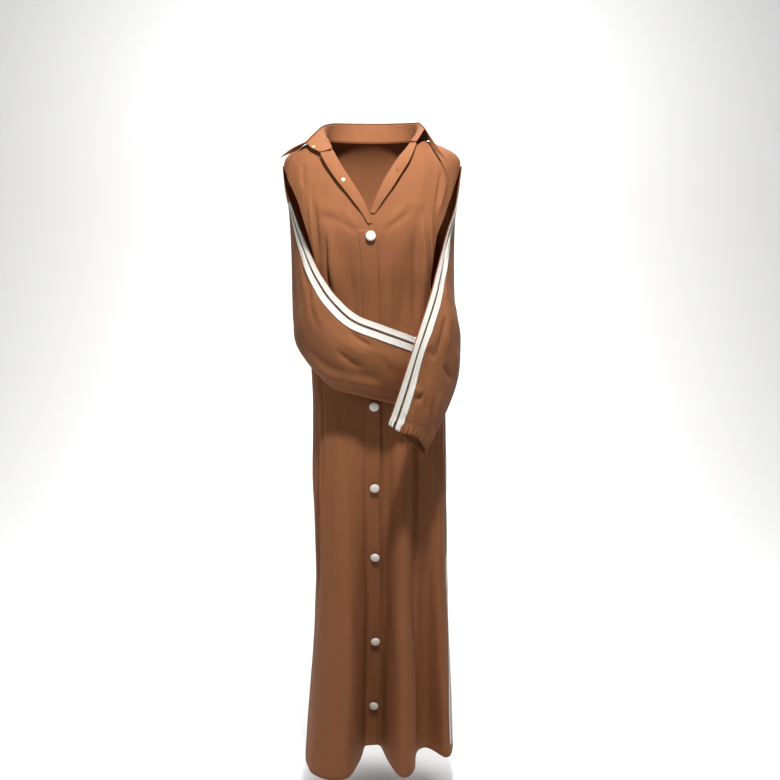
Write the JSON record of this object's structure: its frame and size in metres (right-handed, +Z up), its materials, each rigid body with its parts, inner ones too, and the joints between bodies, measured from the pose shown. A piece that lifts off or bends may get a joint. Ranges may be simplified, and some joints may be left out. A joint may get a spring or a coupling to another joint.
{
  "type": "abaya",
  "caption": "Full-length open-collar abaya in tan crepe, buttoned down a front placket, with white-taped slit sleeves and side stripes, hanging in its worn form.",
  "frame": {"origin": "the high shoulder point: level with the neck points of the shoulder seams, on the garment's middle plane, where the wearer's shoulders hold it up", "axes": "+Z up; the front faces -Y; +X towards the wearer's left side"},
  "size_m": [0.4021, 0.4628, 1.4581],
  "materials": {
    "tan_crepe": "soft satin-backed crepe, matte with a faint sheen",
    "white_tape": "white twill tape, matte",
    "brown_strip": "dark brown ladder tape",
    "pearl_button": "pearly white, glossy",
    "gold_snap": "small gold-coloured press studs"
  },
  "bodies": {
    "root": {"front_right": "tan_crepe", "front_left": "tan_crepe", "back": "tan_crepe", "placket": "tan_crepe", "lapel_right": "tan_crepe", "lapel_left": "tan_crepe", "collar_stand": "tan_crepe", "collar_leaf": "tan_crepe", "sleeve_right": "tan_crepe", "sleeve_left": "tan_crepe", "snap_cover_left": "tan_crepe", "inner_tape_right": "white_tape", "inner_tape_left": "white_tape", "outer_tape_right": "white_tape", "outer_tape_left": "white_tape", "side_tape_right": "white_tape", "side_tape_left": "white_tape", "snap_strip_right": "brown_strip", "snap_strip_left": "brown_strip", "button_1": "pearl_button", "button_2": "pearl_button", "button_3": "pearl_button", "button_4": "pearl_button", "button_5": "pearl_button", "button_6": "pearl_button", "button_7": "pearl_button", "snap_lapel_right": "gold_snap", "snap_stand_right": "gold_snap"}
  },
  "joints": []
}
